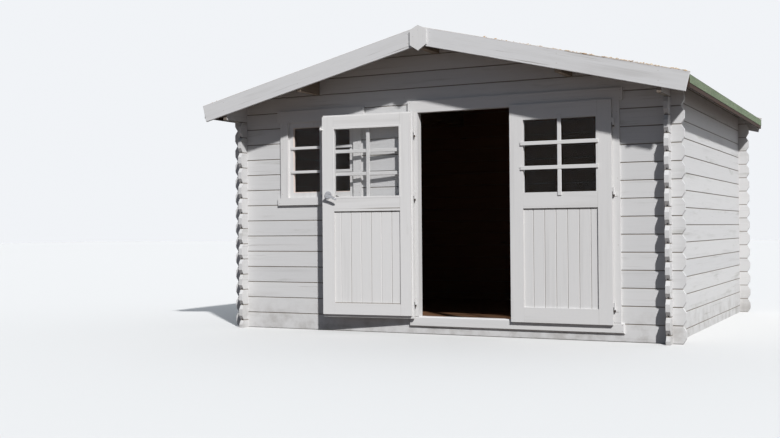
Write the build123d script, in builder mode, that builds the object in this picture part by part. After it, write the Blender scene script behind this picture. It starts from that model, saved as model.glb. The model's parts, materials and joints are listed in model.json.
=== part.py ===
"""A painted timber garden shed of interlocking boards that cross at notched corners.

Millimetres. +Z is up, the doors face -Y, and the origin is on the ground in the
middle of everything that the shed covers, roof overhangs included.
"""
import os
from math import ceil, cos, floor, radians, sin, tan

from build123d import *

os.makedirs("parts", exist_ok=True)

# Boards and walls
course = 140.0
wall = 34.0
room_width = 3849.0
room_depth = 3312.0
log_end = 100.0
end_chamfer_run = 26.0
end_chamfer_rise = 41.0
groove_hole = 14.0
groove_hole_depth = 42.0
vee_width = 10.0
vee_depth = 4.5

# Roof
pitch = 13.65
eave_rise = 81.4
eave_overhang = 187.5
side_purlin_offset = 1165.0
purlin_least = 120.0
purlin_width = 45.0
ridge_purlin_width = 60.0
roof_board = 19.0
felt = 3.0
felt_fold = 62.0
front_overhang = 325.0
back_overhang = 130.0
fascia = 18.0
fascia_height = 95.0
barge = 20.0
barge_depth = 150.0
barge_proud = 2.5
barge_past_felt = 5.0
ridge_plate = 18.0
ridge_plate_width = 148.0
ridge_plate_side = 124.0
ridge_plate_peak = 37.0
ridge_plate_point = 48.0
ridge_plate_rise = 21.0

# Floor
bearer = 45.0
bearer_count = 6
floor_board = 19.0
floor_gap = 4.0

# Doorway
door_centre = 665.0
door_half = 835.0
sill_rise = 10.0
door_head = 1887.0
jamb = 30.0
casing = 20.0
casing_width = 66.0
inner_casing = 16.0
trim_overrun = 26.0
head_trim_height = 101.0
threshold_height = 85.0
threshold_bevel = 8.0

# Door leaves
leaf_side_lap = 8.5
leaf_sill_lap = 17.0
leaf_head_lap = 10.0
leaf_outer = 20.0
leaf_inner = 20.0
leaf_gap = 5.0
meeting_gap = 6.0
inner_clearance = 6.0
stile = 112.0
top_rail = 120.0
mid_rail = 128.0
mid_rail_bottom = 1054.0
bottom_rail = 121.0
leaf_open = 175.0
panel = 16.0
panel_groove = 10.0
panel_board = 95.0
left_first_board = 59.5
right_first_board = 80.5
panel_vee = 8.0
panel_vee_depth = 3.5
glass = 4.0
glass_groove = 7.0

# Hinges and lever handles
hinge_offset = 13.0
hinge_behind = 8.0
hinge_above_bottom = 139.0
hinge_middle = 1174.0
hinge_below_top = 181.0
knuckle_radius = 7.0
knuckle_height = 36.0
knuckle_gap = 0.3
pin_radius = 3.0
pin_fit = 0.3
pin_length = 30.0
hinge_plate = 3.0
hinge_web = 6.0
hinge_plate_depth = 30.0
handle_height = 1207.0
handle_setback = 45.0
rose_radius = 29.0
rose = 9.0
neck_radius = 9.0
neck = 56.0
lever_length = 112.0
lever_width = 24.0
lever_thickness = 14.0
lever_droop = 27.0

# Window
window_centre = -1134.0
window_half = 338.0
window_sill = 1185.0
window_head = 1864.0
window_lining = 22.0
window_lining_proud = 12.0
window_casing = 76.0
window_trim_overrun = 31.0
window_head_trim = 107.0
window_sill_trim = 67.0
casement = 34.0
casement_setback = 4.0
casement_member = 45.0
casement_glass_back = 8.0

# Places worked out from the sizes above
half_room = room_width / 2
half_out = half_room + wall
half_log = half_out + log_end
shed_depth = room_depth + 2 * wall
front_reach = front_overhang + barge + ridge_plate
back_reach = back_overhang + barge + ridge_plate
front = front_reach - (front_reach + shed_depth + back_reach) / 2
front_inner = front + wall
back = front + shed_depth
back_inner = back - wall
roof_front = front - front_overhang
roof_back = back + back_overhang
slope = tan(radians(pitch))
upright = 1 / cos(radians(pitch))
door_sill = course + sill_rise
opening_half = door_half + jamb
opening_head = door_head + jamb
trim_reach = door_half + casing_width + trim_overrun
wall_top = course * ceil(opening_head / course)
plate_bottom = wall_top - course / 2
soffit_ridge = wall_top + eave_rise + half_out * slope
eave_reach = half_out + eave_overhang
window_hole = window_half + window_lining
window_trim_reach = window_half + window_casing + window_trim_overrun
leaf_width = door_half + leaf_side_lap - meeting_gap / 2
leaf_bottom = door_sill - leaf_sill_lap
leaf_top = door_head + leaf_head_lap
hinge_heights = (leaf_bottom + hinge_above_bottom, hinge_middle, leaf_top - hinge_below_top)
leaf_seam = leaf_outer - hinge_behind
leaf_back = leaf_seam + leaf_inner
casing_face = leaf_seam + leaf_gap
hinge_y = front - casing - casing_face
hinge_reach = meeting_gap / 2 + leaf_width + hinge_offset
leaf_free = hinge_offset + leaf_width
barge_reach = eave_reach + fascia + felt + barge_past_felt
barge_ridge = soffit_ridge + (roof_board + felt) * upright + barge_proud


def soffit(x):
    """Height of the underside of the roof boards at a place across the shed."""
    return soffit_ridge - abs(x) * slope


def deck(x):
    """Height of the top of the roof boards at a place across the shed."""
    return soffit(x) + roof_board * upright


def seat(x):
    """Height of the underside of a purlin, which lies on a whole course in the gables."""
    return course * floor((soffit(x) - purlin_least) / course)


def elevation(y):
    """Upright plane across the shed, seen from the front: extruding goes towards the front."""
    return Plane(origin=(0, y, 0), x_dir=(1, 0, 0), z_dir=(0, -1, 0))


def side_view(x):
    """Upright plane along the shed, with local x to the back: extruding goes towards +X."""
    return Plane(origin=(x, 0, 0), x_dir=(0, 1, 0), z_dir=(1, 0, 0))


def save(piece, name):
    """Label one finished piece and write it."""
    piece.part.label = name
    export_step(piece.part, f"parts/{name}.step")


def joint_levels(bottom, top, offset):
    """Heights of the joints between boards that a stretch of wall holds or ends at."""
    levels = [(k + offset) * course for k in range(30)]
    return [z for z in levels if bottom - 1 < z < top + 1]


def vee(face, into, z):
    """Outline of the V joint that two bevelled boards leave in a wall's outer face."""
    half = vee_width / 2
    return [(face - into, z - half), (face, z - half), (face + into * vee_depth, z),
            (face, z + half), (face - into, z + half)]


def end_notch(tip, into, z):
    """Outline of the pointed notch between the chamfered ends of two boards."""
    return [(tip, z - end_chamfer_rise), (tip + into * end_chamfer_run, z), (tip, z + end_chamfer_rise)]


def wall_across(name, outer, inward, outline, bottom, top, ends, holes):
    """A stretch of front or back wall: boards on whole courses, notched where they cross."""
    levels = joint_levels(bottom, top, 0)
    middle = outer + inward * wall / 2
    with BuildPart() as piece:
        with BuildSketch(elevation(middle)):
            Polygon(*outline, align=None)
            for left, right, low, high in holes:
                with Locations(((left + right) / 2, (low + high) / 2)):
                    Rectangle(right - left, high - low, mode=Mode.SUBTRACT)
            for side in ends:
                for z in levels:
                    with Locations((side * (half_room + wall / 2), z)):
                        Rectangle(wall, course / 2, mode=Mode.SUBTRACT)
                    Polygon(*end_notch(side * half_log, -side, z), align=None, mode=Mode.SUBTRACT)
        extrude(amount=wall / 2, both=True)
        with BuildSketch(side_view(0)):
            for z in levels:
                Polygon(*vee(outer, inward, z), align=None)
        extrude(amount=half_log, both=True, mode=Mode.SUBTRACT)
        for side in ends:
            with BuildSketch(side_view(side * half_log)):
                with Locations(*[(middle, z + groove_hole / 2) for z in levels]):
                    Rectangle(groove_hole, groove_hole)
            extrude(amount=-side * groove_hole_depth, mode=Mode.SUBTRACT)
    save(piece, name)


def rectangle_outline(left, right, low, high):
    return [(left, low), (right, low), (right, high), (left, high)]


def gable_outline():
    """The gable from the top of the walls to the roof boards, down to the head of the doorway."""
    left = door_centre - opening_half
    right = door_centre + opening_half
    return [(-half_log, wall_top), (left, wall_top), (left, opening_head), (right, opening_head),
            (right, wall_top), (half_log, wall_top), (half_log, soffit(half_log)),
            (0, soffit_ridge), (-half_log, soffit(half_log))]


def purlin_notches():
    """The notches in a gable that the purlins lie in."""
    notches = []
    for x in (-side_purlin_offset, side_purlin_offset):
        notches.append((x - purlin_width / 2, x + purlin_width / 2, seat(x), soffit_ridge))
    notches.append((-ridge_purlin_width / 2, ridge_purlin_width / 2, seat(0), soffit_ridge + roof_board))
    return notches


# Front wall: the sill course, a wall on each side of the doorway, and the gable
wall_across("front_wall_base", front, 1, rectangle_outline(-half_log, half_log, 0, course),
            0, course, (-1, 1), [])
wall_across("front_wall_left", front, 1,
            rectangle_outline(-half_log, door_centre - opening_half, course, wall_top),
            course, wall_top, (-1,),
            [(window_centre - window_hole, window_centre + window_hole,
              window_sill - window_lining, window_head + window_lining)])
wall_across("front_wall_right", front, 1,
            rectangle_outline(door_centre + opening_half, half_log, course, wall_top),
            course, wall_top, (1,), [])
wall_across("front_gable", front, 1, gable_outline(), wall_top, soffit_ridge, (-1, 1), purlin_notches())

# Back wall
wall_across("back_wall", back, -1, rectangle_outline(-half_log, half_log, 0, wall_top),
            0, wall_top, (-1, 1), [])
wall_across("back_gable", back, -1,
            [(-half_log, wall_top), (half_log, wall_top), (half_log, soffit(half_log)),
             (0, soffit_ridge), (-half_log, soffit(half_log))],
            wall_top, soffit_ridge, (-1, 1), purlin_notches())


def wall_along(name, side):
    """A side wall: its boards start half a course lower, so that they lock into the others."""
    levels = joint_levels(0, plate_bottom, 0.5)
    outer = side * half_out
    inner = side * half_room
    middle = (outer + inner) / 2
    with BuildPart() as piece:
        with BuildSketch(side_view(middle)):
            Polygon(*rectangle_outline(front - log_end, back + log_end, 0, plate_bottom), align=None)
            for z in levels:
                for y in (front + wall / 2, back - wall / 2):
                    with Locations((y, z)):
                        Rectangle(wall, course / 2, mode=Mode.SUBTRACT)
                Polygon(*end_notch(front - log_end, 1, z), align=None, mode=Mode.SUBTRACT)
                Polygon(*end_notch(back + log_end, -1, z), align=None, mode=Mode.SUBTRACT)
        extrude(amount=wall / 2, both=True)
        with BuildSketch(elevation((front + back) / 2)):
            for z in levels:
                Polygon(*vee(outer, -side, z), align=None)
        extrude(amount=shed_depth, both=True, mode=Mode.SUBTRACT)
        for tip, into in ((front - log_end, 1), (back + log_end, -1)):
            with BuildSketch(elevation(tip)):
                with Locations(*[(middle, z + groove_hole / 2) for z in levels]):
                    Rectangle(groove_hole, groove_hole)
            extrude(amount=-into * groove_hole_depth, mode=Mode.SUBTRACT)
    save(piece, name)


def wall_plate(name, side):
    """The top board of a side wall, which runs on under both overhangs."""
    with BuildPart() as piece:
        with BuildSketch(elevation(roof_back)):
            Polygon((side * half_room, plate_bottom), (side * half_out, plate_bottom),
                    (side * half_out, soffit(half_out)), (side * half_room, soffit(half_room)), align=None)
        extrude(amount=roof_back - roof_front)
        with BuildSketch(side_view(side * (half_room + wall / 2))):
            for z in (plate_bottom, plate_bottom + course):
                for y in (front + wall / 2, back - wall / 2):
                    with Locations((y, z)):
                        Rectangle(wall, course / 2)
        extrude(amount=wall, both=True, mode=Mode.SUBTRACT)
    save(piece, name)


def purlin(name, x, width):
    """A purlin whose top is planed to the slope of the roof."""
    with BuildPart() as piece:
        with BuildSketch(elevation(roof_back)):
            with Locations((x, (seat(x) + soffit_ridge) / 2)):
                Rectangle(width, soffit_ridge - seat(x))
            for side in (-1, 1):
                Polygon((0, soffit_ridge), (side * half_out, soffit(half_out)),
                        (side * half_out, soffit_ridge), align=None, mode=Mode.SUBTRACT)
        extrude(amount=roof_back - roof_front)
    save(piece, name)


for side_name, side in (("left", -1), ("right", 1)):
    wall_along(f"{side_name}_wall", side)
    wall_plate(f"{side_name}_wall_plate", side)
    purlin(f"{side_name}_purlin", side * side_purlin_offset, purlin_width)
purlin("ridge_purlin", 0, ridge_purlin_width)

# Floor: boards on bearers that run from front to back
with BuildPart() as floor_bearers:
    with BuildSketch(elevation(back_inner)):
        spacing = (room_width - 2 * bearer) / (bearer_count - 1)
        with Locations((0, bearer / 2)):
            with GridLocations(spacing, bearer, bearer_count, 1):
                Rectangle(bearer, bearer)
    extrude(amount=room_depth)
save(floor_bearers, "floor_bearers")

with BuildPart() as floor_boards:
    with BuildSketch(Plane.XY.offset(bearer)):
        with Locations((0, (front_inner + back_inner) / 2)):
            Rectangle(room_width - 2 * floor_gap, room_depth - 2 * floor_gap)
    extrude(amount=floor_board)
save(floor_boards, "floor_boards")


def roof_side(side_name, side):
    """One slope of the roof: its boards, and felt folded down over the eave."""
    roof_length = roof_back - roof_front
    edge = eave_reach + fascia
    with BuildPart() as boards:
        with BuildSketch(elevation(roof_back)):
            Polygon((0, soffit_ridge), (side * eave_reach, soffit(eave_reach)),
                    (side * eave_reach, deck(eave_reach)), (0, deck(0)), align=None)
        extrude(amount=roof_length)
    save(boards, f"roof_boards_{side_name}")

    with BuildPart() as sheet:
        with BuildSketch(elevation(roof_back)):
            Polygon((0, deck(0)), (side * edge, deck(edge)), (side * edge, deck(edge) - felt_fold),
                    (side * (edge + felt), deck(edge) - felt_fold),
                    (side * (edge + felt), deck(edge + felt) + felt * upright),
                    (0, deck(0) + felt * upright), align=None)
        extrude(amount=roof_length)
    save(sheet, f"roof_felt_{side_name}")


def bargeboard(name, side, y):
    """A board along the verge, mitred at the ridge and cut square at the eave."""
    end_z = barge_ridge - barge_reach * slope
    angle = radians(pitch)
    with BuildPart() as board:
        with BuildSketch(elevation(y)):
            Polygon((0, barge_ridge), (side * barge_reach, end_z),
                    (side * (barge_reach - barge_depth * sin(angle)), end_z - barge_depth * cos(angle)),
                    (0, barge_ridge - barge_depth * upright), align=None)
        extrude(amount=barge)
    save(board, name)


def ridge_cover(name, y):
    """The six-sided plate over the joint of two bargeboards."""
    half = ridge_plate_width / 2
    peak = barge_ridge + ridge_plate_rise
    shoulder = peak - ridge_plate_peak
    hip = shoulder - ridge_plate_side
    with BuildPart() as plate:
        with BuildSketch(elevation(y)):
            Polygon((0, peak), (half, shoulder), (half, hip), (0, hip - ridge_plate_point),
                    (-half, hip), (-half, shoulder), align=None)
        extrude(amount=ridge_plate)
    save(plate, name)


for side_name, side in (("left", -1), ("right", 1)):
    roof_side(side_name, side)
    bargeboard(f"front_bargeboard_{side_name}", side, roof_front)
    bargeboard(f"back_bargeboard_{side_name}", side, roof_back + barge)
ridge_cover("front_ridge_plate", roof_front - barge)
ridge_cover("back_ridge_plate", roof_back + barge + ridge_plate)

with BuildPart() as eave_fascias:
    with BuildSketch(elevation(roof_back)):
        for side in (-1, 1):
            with Locations((side * (eave_reach + fascia / 2), deck(eave_reach + fascia) - fascia_height / 2)):
                Rectangle(fascia, fascia_height)
    extrude(amount=roof_back - roof_front)
save(eave_fascias, "eave_fascias")

# Doorway: a lining that clasps the wall, casings, head trim and threshold
with BuildPart() as door_frame:
    with BuildSketch(elevation(front_inner)):
        with Locations((door_centre, (door_sill + opening_head) / 2)):
            Rectangle(2 * opening_half, opening_head - door_sill)
        with Locations((door_centre, (door_sill + door_head) / 2)):
            Rectangle(2 * door_half, door_head - door_sill, mode=Mode.SUBTRACT)
    extrude(amount=wall)
    with BuildSketch(elevation(front_inner + inner_casing)):
        with Locations((door_centre, (door_sill + door_head + casing_width) / 2)):
            Rectangle(2 * (door_half + casing_width), door_head + casing_width - door_sill)
        with Locations((door_centre, (door_sill + door_head) / 2)):
            Rectangle(2 * door_half, door_head - door_sill, mode=Mode.SUBTRACT)
    extrude(amount=inner_casing)
save(door_frame, "door_frame")

with BuildPart() as door_casings:
    with BuildSketch(elevation(front)):
        for x in (-1, 1):
            with Locations((door_centre + x * (door_half + casing_width / 2), (door_sill + door_head) / 2)):
                Rectangle(casing_width, door_head - door_sill)
    extrude(amount=casing)
save(door_casings, "door_casings")

with BuildPart() as door_head_trim:
    with BuildSketch(elevation(front)):
        with Locations((door_centre, door_head + head_trim_height / 2)):
            Rectangle(2 * trim_reach, head_trim_height)
    extrude(amount=casing)
save(door_head_trim, "door_head_trim")

with BuildPart() as door_threshold:
    with BuildSketch(elevation(front)):
        with Locations((door_centre, door_sill - threshold_height / 2)):
            Rectangle(2 * trim_reach, threshold_height)
    extrude(amount=casing)
    chamfer(door_threshold.faces().sort_by(Axis.Y)[0].edges(), threshold_bevel)
    with BuildSketch(elevation(front_inner + inner_casing)):
        with Locations((door_centre, (course + door_sill) / 2)):
            Rectangle(2 * opening_half, door_sill - course)
    extrude(amount=wall + inner_casing)
save(door_threshold, "door_threshold")


def leaf_plane(side, opened):
    """Plane on a leaf's hinge axis: local x runs to its meeting edge, and +z points outdoors."""
    angle = radians(opened) * side
    return Plane(origin=(door_centre - side * hinge_reach, hinge_y, 0),
                 x_dir=(cos(angle), -sin(angle), 0), z_dir=(-sin(angle), -cos(angle), 0))


def leaf_rectangle(side, near, far, low, high):
    """Centre and size of a rectangle on a leaf, from its distances from the hinge axis."""
    return (side * (near + far) / 2, (low + high) / 2), far - near, high - low


def fill(place, mode=Mode.ADD):
    """Draw the rectangle that leaf_rectangle gives."""
    centre, width, height = place
    with Locations(centre):
        Rectangle(width, height, mode=mode)


def leaf(name, side, opened, first_board):
    """One rebated leaf: its frame, boarded panel, glass and the moving halves of its hinges."""
    plane = leaf_plane(side, opened)
    inner_low = door_sill + inner_clearance
    inner_high = door_head - inner_clearance
    inner_near = hinge_offset + leaf_side_lap + inner_clearance
    light = (hinge_offset + stile, leaf_free - stile, mid_rail_bottom + mid_rail, leaf_top - top_rail)
    field = (hinge_offset + stile, leaf_free - stile, leaf_bottom + bottom_rail, mid_rail_bottom)
    glass_bed = (light[0] - glass_groove, light[1] + glass_groove,
                 light[2] - glass_groove, light[3] + glass_groove)
    panel_bed = (field[0] - panel_groove, field[1] + panel_groove,
                 field[2] - panel_groove, field[3] + panel_groove)

    with BuildPart() as frame:
        with BuildSketch(plane.offset(-leaf_seam)):
            fill(leaf_rectangle(side, hinge_offset, leaf_free, leaf_bottom, leaf_top))
        extrude(amount=leaf_outer)
        with BuildSketch(plane.offset(-leaf_back)):
            fill(leaf_rectangle(side, inner_near, leaf_free, inner_low, inner_high))
        extrude(amount=leaf_inner)
        with BuildSketch(plane.offset(-leaf_back)):
            fill(leaf_rectangle(side, *light))
            fill(leaf_rectangle(side, *field))
        extrude(amount=leaf_outer + leaf_inner, mode=Mode.SUBTRACT)
        with BuildSketch(plane.offset(-leaf_seam - glass / 2)):
            fill(leaf_rectangle(side, *glass_bed))
        extrude(amount=glass, mode=Mode.SUBTRACT)
        with BuildSketch(plane.offset(-leaf_seam - panel / 2)):
            fill(leaf_rectangle(side, *panel_bed))
        extrude(amount=panel, mode=Mode.SUBTRACT)
    save(frame, f"{name}_frame")

    with BuildPart() as pane:
        with BuildSketch(plane.offset(-leaf_seam - glass / 2)):
            fill(leaf_rectangle(side, *glass_bed))
        extrude(amount=glass)
    save(pane, f"{name}_glass")

    with BuildPart() as boards:
        with BuildSketch(plane.offset(-leaf_seam - panel / 2)):
            fill(leaf_rectangle(side, *panel_bed))
        extrude(amount=panel)
        middle = plane.origin + plane.y_dir * (field[2] + field[3]) / 2
        with BuildSketch(Plane(origin=middle, x_dir=plane.x_dir, z_dir=plane.y_dir)):
            place = field[1] - first_board
            while place > field[0] + panel_vee:
                for face, into in ((leaf_seam - panel / 2, 1), (leaf_seam + panel / 2, -1)):
                    Polygon((side * place - panel_vee / 2, face),
                            (side * place, face + into * panel_vee_depth),
                            (side * place + panel_vee / 2, face), align=None)
                place -= panel_board
        extrude(amount=field[3] - field[2], both=True, mode=Mode.SUBTRACT)
    save(boards, f"{name}_panel")

    with BuildPart() as hinges:
        for height in hinge_heights:
            low = height + knuckle_gap / 2
            with BuildSketch(Plane(origin=plane.origin + Vector(0, 0, low), x_dir=plane.x_dir,
                                   z_dir=(0, 0, 1))):
                Circle(knuckle_radius)
                with Locations((side * (hinge_offset - hinge_plate / 2), leaf_outer / 2 - hinge_behind)):
                    Rectangle(hinge_plate, leaf_outer)
                with Locations((side * (hinge_offset + pin_radius) / 2, 0)):
                    Rectangle(hinge_offset - pin_radius, hinge_web)
                Circle(pin_radius + pin_fit, mode=Mode.SUBTRACT)
            extrude(amount=knuckle_height)
    save(hinges, f"{name}_hinges")


leaf("left_door", 1, leaf_open, left_first_board)
leaf("right_door", -1, 0, right_first_board)

# Fixed halves of the hinges, with their pins
with BuildPart() as hinge_pins:
    for side in (-1, 1):
        axis = (door_centre - side * hinge_reach, hinge_y, 0)
        for height in hinge_heights:
            top = height - knuckle_gap / 2
            with BuildSketch(Plane(origin=axis).offset(top)):
                Circle(knuckle_radius)
                with Locations((-side * (knuckle_radius - hinge_plate / 2), casing_face / 2)):
                    Rectangle(hinge_plate, casing_face)
                with Locations((-side * hinge_plate_depth / 2, casing_face - hinge_plate / 2)):
                    Rectangle(hinge_plate_depth, hinge_plate)
            extrude(amount=-knuckle_height)
            with BuildSketch(Plane(origin=axis).offset(top)):
                Circle(pin_radius)
            extrude(amount=pin_length)
save(hinge_pins, "hinge_pins")

# Lever handles on both faces of the left leaf
with BuildPart() as lever_handles:
    left_leaf = leaf_plane(1, leaf_open)
    spindle = (leaf_free - handle_setback, handle_height)
    for face, out in ((hinge_behind, 1), (-leaf_back, -1)):
        with BuildSketch(left_leaf.offset(face)):
            with Locations(spindle):
                Circle(rose_radius)
        extrude(amount=out * rose)
        with BuildSketch(left_leaf.offset(face)):
            with Locations(spindle):
                Circle(neck_radius)
        extrude(amount=out * neck)
        with BuildSketch(left_leaf.offset(face + out * (neck - lever_thickness))):
            with Locations(Location((*spindle, 0), (0, 0, 180 + lever_droop))):
                with Locations(((lever_length - lever_width) / 2, 0)):
                    SlotCenterToCenter(lever_length - lever_width, lever_width)
        extrude(amount=out * lever_thickness)
save(lever_handles, "lever_handles")

# Window: a lining through the wall, casings outside, and a casement with its glass
window_middle = (window_centre, (window_sill + window_head) / 2)
window_height = window_head - window_sill
with BuildPart() as window_frame:
    with BuildSketch(elevation(front_inner + window_lining_proud)):
        with Locations(window_middle):
            Rectangle(2 * window_hole, window_height + 2 * window_lining)
            Rectangle(2 * window_half, window_height, mode=Mode.SUBTRACT)
    extrude(amount=wall + window_lining_proud)
save(window_frame, "window_frame")

with BuildPart() as window_casings:
    with BuildSketch(elevation(front)):
        for x in (-1, 1):
            with Locations((window_centre + x * (window_half + window_casing / 2), window_middle[1])):
                Rectangle(window_casing, window_height)
    extrude(amount=casing)
save(window_casings, "window_casings")

with BuildPart() as window_trims:
    with BuildSketch(elevation(front)):
        with Locations((window_centre, window_head + window_head_trim / 2)):
            Rectangle(2 * window_trim_reach, window_head_trim)
        with Locations((window_centre, window_sill - window_sill_trim / 2)):
            Rectangle(2 * window_trim_reach, window_sill_trim)
    extrude(amount=casing)
save(window_trims, "window_trims")

casement_back = front + casement_setback + casement
pane_back = casement_back - casement_glass_back
pane_width = 2 * (window_half - casement_member + glass_groove)
pane_height = window_height - 2 * (casement_member - glass_groove)
with BuildPart() as window_casement:
    with BuildSketch(elevation(casement_back)):
        with Locations(window_middle):
            Rectangle(2 * window_half, window_height)
            Rectangle(2 * (window_half - casement_member), window_height - 2 * casement_member,
                      mode=Mode.SUBTRACT)
    extrude(amount=casement)
    with BuildSketch(elevation(pane_back)):
        with Locations(window_middle):
            Rectangle(pane_width, pane_height)
    extrude(amount=glass, mode=Mode.SUBTRACT)
save(window_casement, "window_casement")

with BuildPart() as window_glass:
    with BuildSketch(elevation(pane_back)):
        with Locations(window_middle):
            Rectangle(pane_width, pane_height)
    extrude(amount=glass)
save(window_glass, "window_glass")
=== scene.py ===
"""Finishes and fittings of a painted timber garden shed: boards, felt, glazing bars and ironmongery.

Metres. The shed's frame gives every place; this file adds what is laid, nailed and painted on it.
"""
import json
import math
import random

import bmesh
import bpy
from bpy.props import FloatProperty, FloatVectorProperty, IntProperty, PointerProperty
from mathutils import Matrix, Vector, noise


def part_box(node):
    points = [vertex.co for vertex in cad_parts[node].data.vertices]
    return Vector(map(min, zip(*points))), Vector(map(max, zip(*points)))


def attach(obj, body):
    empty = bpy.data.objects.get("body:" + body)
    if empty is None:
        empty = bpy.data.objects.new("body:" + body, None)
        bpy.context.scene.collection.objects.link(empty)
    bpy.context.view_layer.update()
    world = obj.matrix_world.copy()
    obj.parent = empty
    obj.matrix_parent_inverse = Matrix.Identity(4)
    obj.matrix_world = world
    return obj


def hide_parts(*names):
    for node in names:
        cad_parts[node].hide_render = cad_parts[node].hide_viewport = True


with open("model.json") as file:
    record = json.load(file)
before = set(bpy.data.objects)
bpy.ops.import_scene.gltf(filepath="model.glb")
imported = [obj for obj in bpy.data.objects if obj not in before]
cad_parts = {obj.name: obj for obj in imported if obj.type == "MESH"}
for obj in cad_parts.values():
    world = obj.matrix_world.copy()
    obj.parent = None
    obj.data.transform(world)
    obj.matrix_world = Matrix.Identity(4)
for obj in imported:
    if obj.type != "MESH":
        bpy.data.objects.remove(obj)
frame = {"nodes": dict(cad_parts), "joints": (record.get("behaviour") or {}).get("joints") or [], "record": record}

bl_info = {
    "name": "Timber garden shed",
    "version": (1, 0, 0),
    "blender": (4, 5, 0),
    "location": "View3D > Sidebar > Shed",
    "description": "Adds boards, felt, glazing bars, ironmongery and paint to a timber garden shed",
    "category": "Object",
}

X = Vector((1, 0, 0))
Y = Vector((0, 1, 0))
Z = Vector((0, 0, 1))
UPRIGHT = Matrix.Rotation(math.pi / 2, 4, "X")

# Places read from the frame
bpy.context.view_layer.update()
sill_low, sill_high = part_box("front_wall_base")
COURSE = sill_high.z
FRONT = sill_low.y
FRONT_INNER = sill_high.y
BACK_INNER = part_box("back_wall")[0].y
HALF_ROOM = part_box("right_wall")[0].x
HALF_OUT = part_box("right_wall")[1].x
roof_low, roof_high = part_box("roof_boards_right")
felt_low, felt_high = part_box("roof_felt_right")


def axis_of(joint):
    """Where a leaf's hinge axis stands on the ground."""
    place = next(j for j in frame["joints"] if j["name"] == joint)["pos_m"]
    return Vector((*place[:2], 0))


def metres(name, description, value):
    return FloatProperty(name=name, description=description, default=value, unit="LENGTH")


def degrees(name, description, value):
    return FloatProperty(name=name, description=description, default=math.radians(value), subtype="ANGLE")


def rgb(name, description, *value):
    return FloatVectorProperty(name=name, description=description, default=value, subtype="COLOR")


class ShedSizes(bpy.types.PropertyGroup):
    """Sizes that a maker would choose."""

    pitch: degrees("Roof pitch", "Slope of the roof", 13.65)
    roof_board: metres("Roof board", "Thickness of the roof boards", 0.019)
    roof_board_cover: metres("Roof board cover", "Width that one roof board covers", 0.088)
    floor_board_cover: metres("Floor board cover", "Width that one floor board covers", 0.092)
    board_gap: metres("Board gap", "Gap between two boards of the floor or roof", 0.0015)
    barge_depth: metres("Bargeboard", "Depth of a bargeboard", 0.150)
    barge_rise: metres("Bargeboard rise", "How much higher the bargeboards are nailed", 0.013)
    felt: metres("Felt", "Thickness of one layer of felt", 0.0022)
    felt_width: metres("Felt width", "Width of the roll that the felt is cut from", 1.0)
    felt_lap: metres("Felt lap", "How far one strip of felt lies over the next", 0.075)
    felt_wave: metres("Felt waviness", "How far the felt lifts off the boards", 0.0016)
    leaf_opened: degrees("Left leaf opened", "How far the left leaf stands open", 175)
    leaf_face: metres("Leaf face", "From a hinge axis out to its leaf's face", 0.008)
    leaf: metres("Leaf", "Thickness of a leaf", 0.040)
    stile: metres("Stile", "Width of a leaf's stiles", 0.112)
    hinge_offset: metres("Hinge offset", "From a hinge axis to the leaf's edge", 0.013)
    leaf_width: metres("Leaf width", "Width of a leaf", 0.8405)
    panel_board: metres("Panel board", "Width of one board of a leaf's panel", 0.095)
    left_first_board: metres("Left first board", "Width of the left panel's end board", 0.0595)
    right_first_board: metres("Right first board", "Width of the right panel's end board", 0.0805)
    panel_low: metres("Panel's bottom", "Height of the panels' lower edge", 0.254)
    panel_top: metres("Panel top", "Height of the top of a leaf's panel", 1.054)
    light_low: metres("Light's sill", "Height of a leaf's light at its bottom", 1.182)
    light_high: metres("Light's head", "Height of a leaf's light at its top", 1.777)
    bar: metres("Glazing bar", "Width of a leaf's glazing bars", 0.031)
    bar_proud: metres("Bar thickness", "How far a glazing bar stands off its frame", 0.010)
    bar_overrun: metres("Bar overrun", "How far a glazing bar runs on over its frame", 0.021)
    window_bar: metres("Window bar", "Width of the window's glazing bars", 0.025)
    bead: metres("Glazing bead", "Width of the beads that hold the glass", 0.019)
    left_hinge_inset: metres("Left hinge inset",
                             "How far the left leaf's bead narrows its light beside the hinges", 0.008)
    left_free_inset: metres("Left free inset", "The same at the left leaf's free side", 0.002)
    right_hinge_inset: metres("Right hinge inset", "The same beside the right hinges", 0.012)
    right_free_inset: metres("Right free inset", "The same at the right free side", 0.002)
    head_inset: metres("Head inset", "The same at the top of both lights", 0.006)
    stud_height: metres("Stud height", "Height of the stud's knob", 1.776)
    lever_height: metres("Lever height", "Height of the lever's spindle", 1.198)
    lever_backset: metres("Lever backset", "From the leaf's free edge to the lever", 0.055)
    nail: metres("Nail head", "Radius of a nail's head", 0.0030)


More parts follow.
